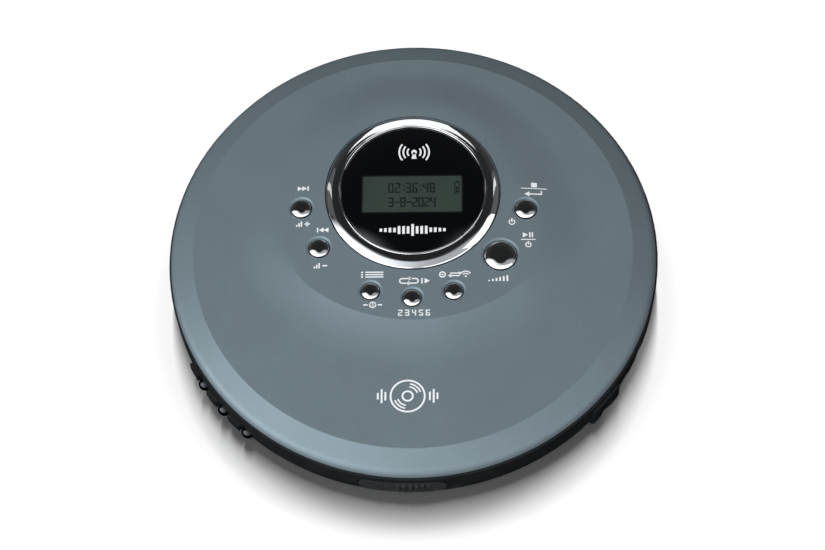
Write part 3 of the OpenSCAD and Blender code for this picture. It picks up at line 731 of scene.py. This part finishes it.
def split_long(polys, step=1.0):
    """Cut long four-sided strips into short ones, so that prints follow a curved surface."""
    pieces = []
    for p in polys:
        if len(p) != 4:
            pieces.append(p)
            continue
        a, b, c, d = p
        if math.dist(b, c) > math.dist(a, b):
            a, b, c, d = b, c, d, a
        n = max(1, math.ceil(math.dist(a, b) / step))
        for k in range(n):
            t0, t1 = k / n, (k + 1) / n
            pieces.append([(mix(p0[0], p1[0], t), mix(p0[1], p1[1], t))
                           for p0, p1, t in ((a, b, t0), (a, b, t1), (d, c, t1), (d, c, t0))])
    return pieces


def marks(name, polys, height, mat, body, slot, thick=0.03):
    """Thin raised prints that follow a surface height."""
    verts, faces = [], []
    for p in polys:
        area = sum(a[0] * b[1] - b[0] * a[1] for a, b in zip(p, p[1:] + p[:1]))
        if area < 0:
            p = p[::-1]
        s, n = len(verts), len(p)
        verts += [(x, y, height(x, y) + thick) for x, y in p]
        verts += [(x, y, height(x, y) - thick) for x, y in p]
        faces.append(tuple(range(s, s + n)))
        faces.append(tuple(range(s + 2 * n - 1, s + n - 1, -1)))
        for i in range(n):
            j = (i + 1) % n
            faces.append((s + j, s + i, s + n + i, s + n + j))
    obj = build(name, verts, faces, mat, smooth_faces=False)
    return attach(obj, body)


DIGITS = {
    "0": "abcdef", "1": "bc", "2": "abdeg", "3": "abcdg", "4": "bcfg",
    "5": "acdfg", "6": "acdefg", "7": "abc", "8": "abcdefg", "9": "abcdfg", "-": "g",
}


def digit(ch, x, y, w, h, t):
    """Seven-segment digit as polygons, lower left corner at x, y."""
    if ch == ":":
        return [bar(x + w * 0.3, y + h * 0.22, x + w * 0.3 + t, y + h * 0.22 + t),
                bar(x + w * 0.3, y + h * 0.66, x + w * 0.3 + t, y + h * 0.66 + t)]
    lit = DIGITS.get(ch, "")
    m, g = y + h / 2, t * 0.12

    def across(y0, y1, left, right):
        """Horizontal segment, shortened where an upright stands beside it."""
        x0 = x + (t + g if any(k in lit for k in left) else 0.0)
        x1 = x + w - (t + g if any(k in lit for k in right) else 0.0)
        return bar(x0, y0, x1, y1)

    seg = {
        "a": across(y + h - t, y + h, "f", "b"), "d": across(y, y + t, "e", "c"),
        "g": across(m - t / 2, m + t / 2, "ef", "bc"),
        "b": bar(x + w - t, m + g, x + w, y + h), "c": bar(x + w - t, y, x + w, m - g),
        "f": bar(x, m + g, x + t, y + h), "e": bar(x, y, x + t, m - g),
    }
    return [seg[k] for k in lit]


def number(text, x, y, w, h, t, gap):
    polys = []
    for ch in text:
        step = w * 0.55 if ch == ":" else w
        polys += digit(ch, x, y, w, h, t)
        x += step + gap
    return polys


def lcd_marks():
    """Two rows of digits and a battery gauge."""
    left, low = LCD_C[0] - LCD_W / 2, LCD_C[1] - LCD_H / 2
    polys = number("02:36:48", left + 7.4, low + 6.3, 1.5, 3.25, 0.42, 0.4)
    polys += number("3-8-2024", left + 7.4, low + 1.65, 1.5, 3.15, 0.42, 0.24)
    # upright battery gauge, two cells of three
    bx, by, w, h, t = left + 26.5, low + 5.9, 1.5, 3.9, 0.25
    polys += [bar(bx, by, bx + w, by + t), bar(bx, by + h - t, bx + w, by + h),
              bar(bx, by + t, bx + t, by + h - t),
              bar(bx + w - t, by + t, bx + w, by + h - t),
              bar(bx + 0.45, by + h, bx + w - 0.45, by + h + 0.35)]
    polys += [bar(bx + 0.42, by + 0.42 + k * 1.1, bx + w - 0.42, by + 1.25 + k * 1.1) for k in range(2)]
    return marks("lcd_segments", polys, lambda x, y: GLASS_Z + 0.01, M_LCD_INK, "lid", "lcd_grey", 0.02)


lcd_marks()


def tri(x, y, s, direction=1):
    """Arrowhead centred on x, y that points right, or left with direction -1."""
    return [(x - s * 0.5 * direction, y - s * 0.55), (x + s * 0.5 * direction, y),
            (x - s * 0.5 * direction, y + s * 0.55)]


LINE = 0.4                   # stroke width of the printed pictograms


def rising_bars(x, y, w, h, count):
    """Level bars that grow to the right, centred on x, y."""
    step = w / count
    return [bar(x - w / 2 + k * step, y - h / 2, x - w / 2 + k * step + min(LINE + 0.1, step * 0.6),
                y - h / 2 + h * (k + 1.2) / (count + 0.2)) for k in range(count)]


def skip_sign(x, y, s, direction):
    return [tri(x - direction * s * 0.85, y, s, direction), tri(x + direction * s * 0.15, y, s, direction),
            bar(x + direction * s * 0.9 - LINE / 2, y - s * 0.55,
                x + direction * s * 0.9 + LINE / 2, y + s * 0.55)]


def power_sign(x, y, r):
    return band(x, y, r - LINE * 0.8, r, 125, 415, 22) + [bar(x - LINE / 2, y, x + LINE / 2, y + r * 1.15)]


def label_marks():
    """Generic control pictograms beside the buttons."""
    polys = []
    x, y = button_xy("next")
    polys += skip_sign(x + 0.63, y + 6.58, 1.35, 1)
    polys += rising_bars(x - 0.35, y - 5.2, 2.0, 1.75, 3)
    polys += [bar(x + 1.1, y - 5.4, x + 2.6, y - 5.0), bar(x + 1.65, y - 5.95, x + 2.05, y - 4.45)]
    x, y = button_xy("previous")
    polys += skip_sign(x + 0.76, y + 5.72, 1.4, -1)
    polys += rising_bars(x - 0.35, y - 5.85, 2.0, 1.75, 3) + [bar(x + 1.1, y - 6.05, x + 2.5, y - 5.65)]
    x, y = button_xy("menu")
    for k in (-1, 0, 1):
        row = y + 5.12 + k * 0.76
        polys += [bar(x - 1.5, row - 0.19, x + 3.7, row + 0.19), bar(x - 2.7, row - 0.2, x - 2.1, row + 0.2)]
    polys += band(x + 0.75, y - 4.5, 0.72, 1.02, 0, 360, 28)
    polys += [bar(x + 0.57, y - 5.0, x + 0.93, y - 4.4), bar(x + 0.57, y - 4.2, x + 0.93, y - 3.9)]
    polys += [bar(x - 1.9, y - 4.7, x - 0.7, y - 4.3), bar(x + 2.2, y - 4.7, x + 3.4, y - 4.3)]
    x, y = button_xy("mode")
    lx, ly = x - 0.9, y + 5.26
    polys += band(lx - 1.9, ly, 0.55, 0.93, 90, 270, 12) + band(lx + 1.9, ly, 0.55, 0.93, -90, 90, 12)
    polys += [bar(lx - 1.9, ly + 0.55, lx + 1.9, ly + 0.93), bar(lx - 1.9, ly - 0.93, lx + 1.9, ly - 0.55)]
    polys += [tri(lx + 0.5, ly + 0.74, 1.15), tri(lx - 0.5, ly - 0.74, 1.15, -1)]
    polys += [bar(x + 2.6, ly - 0.85, x + 3.0, ly + 0.85), tri(x + 4.3, ly, 1.5)]
    polys += number("23456", x - 3.9, y - 5.8, 1.2, 1.9, 0.32, 0.75)
    x, y = button_xy("source")
    polys += band(x - 3.2, y + 5.12, 0.62, 1.0, 0, 360, 24) + [disc_poly(x - 3.2, y + 5.12, 0.28, 12)]
    polys += [bar(x - 1.1, y + 5.35, x + 1.5, y + 5.7), tri(x + 1.9, y + 5.52, 1.0)]
    polys += [bar(x - 0.8, y + 4.55, x + 1.8, y + 4.9), tri(x - 1.2, y + 4.72, 1.0, -1)]
    polys += [disc_poly(x + 3.4, y + 4.5, 0.3, 12)] + band(x + 3.4, y + 4.5, 0.75, 1.08, 35, 145, 10)
    polys += band(x + 3.4, y + 4.5, 1.45, 1.8, 35, 145, 14)
    x, y = button_xy("play")
    polys += rising_bars(x - 0.45, y - 7.48, 6.2, 1.85, 6)
    px, py = x + 8.0, y + 6.48
    polys += [tri(px - 0.8, py, 1.5), bar(px + 0.25, py - 0.82, px + 0.65, py + 0.82),
              bar(px + 1.0, py - 0.82, px + 1.4, py + 0.82)]
    polys += [bar(px - 2.1, y + 4.84, px + 2.1, y + 5.1)] + power_sign(px, y + 3.35, 0.92)
    x, y = button_xy("stop")
    px = x + 2.55
    polys += [bar(px - 0.85, y + 7.26, px + 0.85, y + 8.76), bar(px - 3.75, y + 6.7, px + 3.75, y + 6.95)]
    polys += [bar(px - 1.9, y + 4.75, px + 2.3, y + 5.15), bar(px + 1.9, y + 5.15, px + 2.3, y + 6.15),
              tri(px - 2.1, y + 4.95, 1.5, -1)]
    polys += power_sign(x - 4.0, y - 4.35, 0.98)
    return polys


marks("lid_labels", split_long(label_marks()), lid_height, M_INK, "lid", "light_guide", INK_LIFT)


def disc_icon():
    """Generic disc pictogram on the front of the lid."""
    cx, cy = -1.1, -47.3
    polys = band(cx, cy, 4.5, 5.0, 0, 360, 60) + band(cx, cy, 1.2, 1.7, 0, 360, 36)
    for r in (2.65, 3.55):
        polys += band(cx, cy, r, r + 0.42, 20, 80, 14) + band(cx, cy, r, r + 0.42, 200, 260, 14)
    for s in (-1, 1):
        for k, h in enumerate((2.6, 4.2, 2.0)):
            x = cx + s * (6.2 + k * 1.05)
            polys.append(bar(x - 0.26, cy - h / 2, x + 0.26, cy + h / 2))
    return polys


marks("disc_icon", disc_icon(), lid_height, M_INK, "lid", "light_guide", INK_LIFT)


def window_icons():
    """Generic broadcast mark above the display and a plain row of level bars below it."""
    cx, cy = BEZEL[0] + 0.4, BEZEL[1] + 12.4
    polys = [disc_poly(cx, cy, 0.8, 28),
             [(cx - 0.28, cy), (cx + 0.28, cy), (cx + 0.75, cy - 2.2), (cx - 0.75, cy - 2.2)]]
    for r in (1.7, 2.9, 4.1):
        polys += band(cx, cy, r, r + 0.5, -38, 38, 16) + band(cx, cy, r, r + 0.5, 142, 218, 16)
    cx, cy = BEZEL[0] + 0.1, BEZEL[1] - 13.35
    for k in range(-7, 8):
        h = 0.9 + 2.9 * math.exp(-(k / 4.2) ** 2) * (0.72 + 0.28 * math.cos(2.3 * k))
        polys.append(bar(cx + k * 1.3 - 0.38, cy - h / 2, cx + k * 1.3 + 0.38, cy + h / 2))
    return marks("window_icons", polys, lambda x, y: GLASS_Z, M_INK, "lid", "light_guide", 0.02)


window_icons()


# ---------------------------------------------------------------- dome buttons
def dome(name):
    x, y = button_xy(name)
    r = BUTTONS[name][2] / 2.0
    # the larger the button, the flatter its middle
    size = clamp01((BUTTONS[name][2] - SMALL_DIA) / (LARGE_DIA - SMALL_DIA))
    rise, power, foot = mix(*DOME_RISE, size) * r, mix(*DOME_POWER, size), DOME_FOOT
    profile = [(0.0, FLANGE_LOW), (r + 0.66, FLANGE_LOW), (r + 0.68, 25.35), (r + 0.66, FLANGE_TOP - 0.02)]
    profile += [(r, FLANGE_TOP), (r, foot - 0.1), (r - 0.02, foot - 0.03)]
    for k in range(DOME_STEPS):
        out = 1 - k / DOME_STEPS
        profile.append(((r - 0.05) * out, foot + rise * (1 - out ** power)))
    profile += [(0.0, foot + rise)]
    obj = lathe("dome_" + name, profile, M_DOME, 96, (x, y), False, 35.0)
    return attach(obj, "key_" + name, ["button_" + name])


for key in BUTTONS:
    dome(key)


# ---------------------------------------------------------------- carried-over CAD nodes
def dress(material, *names):
    for n in names:
        mesh = NODES[n].data
        mesh.materials.clear()
        mesh.materials.append(material)
        mesh.shade_smooth()
        mesh.set_sharp_from_angle(angle=math.radians(32))


dress(M_CASE, "base_shell", "battery_door", "dc_inlet")
# the latch slider gets the lighter plastic, a painted highlight in place of the light on its edges
dress(M_LATCH_PAINTED_HIGHLIGHT, "latch_slider")
dress(M_DECK, "disc_deck", "lid_liner", "spindle_hub", "optical_sled", "lens_holder", "pcb_chips")
dress(M_CELL, "battery_cells")
dress(M_NICKEL, "battery_contacts", "battery_springs", "clamp_balls", "guide_rods", "idler_pin", "hinge_pin",
      "hinge_spring", "latch_spring")
dress(M_BOARD, "main_pcb", "io_pcb", "key_pcb", "control_pcb")
dress(M_CAN, "pcb_capacitors", "spindle_motor", "sled_motor")
dress(M_STEEL, "headphone_jack", "line_out_jack", "mech_chassis", "actuator_yoke")
dress(M_GREY, "side_switches", "control_switches", "lid_switch")
dress(M_KNOB, "button_volume_up", "button_volume_down", "button_bass")
dress(M_RUBBER, "damper_grommets", "rubber_feet")
dress(M_SCREW, "mech_screws", "case_screws", "lid_screws")
dress(M_BRASS, "motor_pinion")
dress(M_WHITE, "idler_gear", "sled_rack", "lcd_backlight")
dress(M_LCD, "lcd_panel")
dress(M_LENS, "objective_lens")


# ---------------------------------------------------------------- floor, light, camera
def floor():
    t = Tree("floor_paper")
    t.link(t.ramp(t.noise(3.0, 2.0), (0.90, 0.90, 0.90), (0.93, 0.93, 0.93)), "Base Color")
    t.link(t.span(t.noise(40.0), 0.75, 0.85), "Roughness")
    n, size = 24, 3000.0
    verts, faces = [], []
    for j in range(n + 1):
        for i in range(n + 1):
            verts.append((mix(-size, size, i / n), mix(-size, size, j / n), 0.0))
    for j in range(n):
        for i in range(n):
            a = j * (n + 1) + i
            faces.append((a, a + 1, a + n + 2, a + n + 1))
    obj = build("floor", verts, faces, t.mat)
    return obj


def area_light(name, az, el, dist, size_x, size_y, power, color=(1, 1, 1), glossy=True, aim=(0, 0, 0.02)):
    """Softbox at an azimuth (0 = front, + = right) and elevation, facing the player."""
    data = bpy.data.lights.new(name, "AREA")
    data.shape = "RECTANGLE"
    data.size, data.size_y = size_x, size_y
    data.energy = power
    data.color = color
    obj = bpy.data.objects.new(name, data)
    scene.collection.objects.link(obj)
    a, e = math.radians(az), math.radians(el)
    pos = Vector(aim) + Vector((math.sin(a) * math.cos(e), -math.cos(a) * math.cos(e), math.sin(e))) * dist
    obj.location = pos
    obj.rotation_euler = (pos - Vector(aim)).to_track_quat("Z", "Y").to_euler()
    obj.visible_glossy = glossy
    return obj


def studio(ground):
    """Soft light on the player from the front left, and its own light on the paper."""
    paper = bpy.data.collections.new("paper")
    paper.objects.link(ground)
    player = bpy.data.collections.new("player_only")
    player.objects.link(ground)
    player.collection_objects[0].light_linking.link_state = "EXCLUDE"
    ring = bpy.data.collections.new("ring")
    domes = bpy.data.collections.new("domes")
    for obj in scene.objects:
        if obj.type == "MESH" and obj.data.materials[0] in (M_CHROME, M_DOME):
            (ring if obj.data.materials[0] == M_CHROME else domes).objects.link(obj)
    ground.visible_glossy = False
    # name, azimuth, elevation, distance, width, height, power, what it lights
    for name, az, el, dist, width, height, power, receivers in (
        ("key_front_left", -45, 50, 0.80, 0.45, 0.45, 4.2, player),
        ("overhead", 0, 72, 0.70, 0.45, 0.45, 3.05, player),
    ):
        tint = (0.93, 0.98, 1.0) if az else (1.0, 0.985, 0.965)
        lamp = area_light(name, az, el, dist, width, height, power, tint, False)
        lamp.light_linking.receiver_collection = receivers
    # cards that only show in the plating
    for name, az, el, dist, width, height, power, receivers in (
        ("back_card", 182, 25, 1.2, 0.66, 1.0, 2.4, ring),
        ("front_card_left", -30, 18, 1.2, 1.15, 0.70, 2.7, ring),
        ("front_card_right", 36, 18, 1.2, 1.10, 0.70, 2.6, ring),
        ("right_side", 84, 30, 1.2, 0.70, 0.9, 2.6, ring),
        ("left_side", -84, 14, 1.2, 0.16, 0.6, 0.4, ring),
        ("left_wide", -120, 25, 1.2, 0.7, 0.6, 0.1, ring),
        ("right_wide", 118, 25, 1.2, 0.7, 0.6, 0.1, ring),
        ("left_strip", -124, 24, 1.2, 0.10, 0.6, 0.12, ring),
        ("right_strip", 128, 30, 1.2, 0.12, 0.5, 0.15, ring),
        ("dome_card", 3, 30, 1.2, 4.6, 1.0, 14.0, domes),
    ):
        lamp = area_light(name, az, el, dist, width, height, power, (0.97, 0.99, 1.0), True)
        lamp.visible_diffuse = False
        lamp.light_linking.receiver_collection = receivers
    for name, az, el, width, height, power in (
        ("paper_light", 180, 80, 0.03, 1.15, 22.5),
        ("paper_left", -138, 66, 0.4, 0.5, 4.6),
        ("paper_right", 138, 66, 0.4, 0.5, 4.6),
        ("paper_fill", 0, 60, 0.3, 0.5, 2.0),
    ):
        lamp = area_light(name, az, el, 1.6, width, height, power, (1, 1, 1), False)
        lamp.light_linking.receiver_collection = paper
    tent()


def tent():
    """Light tent seen only in reflections: bright front half, brighter to the left, dark back."""
    world = bpy.data.worlds.new("tent")
    scene.world = world
    world.use_nodes = True
    nodes, links = world.node_tree.nodes, world.node_tree.links
    split = nodes.new("ShaderNodeSeparateXYZ")
    links.new(nodes.new("ShaderNodeTexCoord").outputs["Generated"], split.inputs[0])

    def span(axis, start, end, low, high):
        node = nodes.new("ShaderNodeMapRange")
        node.interpolation_type = "SMOOTHSTEP"
        for key, value in zip(("From Min", "From Max", "To Min", "To Max"), (start, end, low, high)):
            node.inputs[key].default_value = value
        links.new(split.outputs[axis], node.inputs["Value"])
        return node.outputs["Result"]

    def combine(op, a, b):
        node = nodes.new("ShaderNodeMath")
        node.operation = op
        links.new(a, node.inputs[0])
        links.new(b, node.inputs[1])
        return node.outputs[0]

    front = combine("MULTIPLY", span("Y", -0.08, 0.18, 1.0, 0.0), span("Z", 0.90, 0.99, 1.0, 0.0))
    front = combine("MULTIPLY", front, span("X", -0.9, 0.3, TENT_LEFT, TENT_FRONT))
    total = combine("ADD", front, span("Z", 0.0, 1.0, TENT_LOW, TENT_TOP))
    total = combine("MULTIPLY", total, span("Z", -0.04, 0.04, 0.0, 1.0))
    back = nodes["Background"]
    back.inputs["Color"].default_value = (0.93, 0.97, 1.0, 1.0)
    links.new(total, back.inputs["Strength"])
    world.cycles_visibility.diffuse = False


CAM_TURN_TILT_ROLL = (3.35, 62.52, -3.42)     # degrees
CAM_TARGET = (-0.0001, -0.0069, 0.020)        # metres
CAM_DISTANCE = 0.70
CAM_SENSOR = 36.0                             # mm
CAM_FOCAL = 2.95151515                            # focal length as a share of the sensor width


def camera():
    """Camera that sees the player as the picture does: turn, tilt, roll, aim and focal length."""
    az, el, roll = (math.radians(v) for v in CAM_TURN_TILT_ROLL)
    back = Vector((math.sin(az) * math.cos(el), -math.cos(az) * math.cos(el), math.sin(el)))
    right = Vector((math.cos(az), math.sin(az), 0.0))
    up = back.cross(right)
    r2 = right * math.cos(roll) + up * math.sin(roll)
    u2 = up * math.cos(roll) - right * math.sin(roll)
    target = Vector(CAM_TARGET)
    data = bpy.data.cameras.new("photo_camera")
    data.sensor_fit = "HORIZONTAL"
    data.sensor_width = CAM_SENSOR
    data.lens = CAM_FOCAL * CAM_SENSOR
    data.clip_start = 0.01
    data.clip_end = 20.0
    obj = bpy.data.objects.new("photo_camera", data)
    scene.collection.objects.link(obj)
    m = Matrix.Identity(4)
    for i, col in enumerate((r2, u2, back)):
        for j in range(3):
            m[j][i] = col[j]
    m.translation = target + back * CAM_DISTANCE
    obj.matrix_world = m
    scene.camera = obj


studio(floor())
camera()
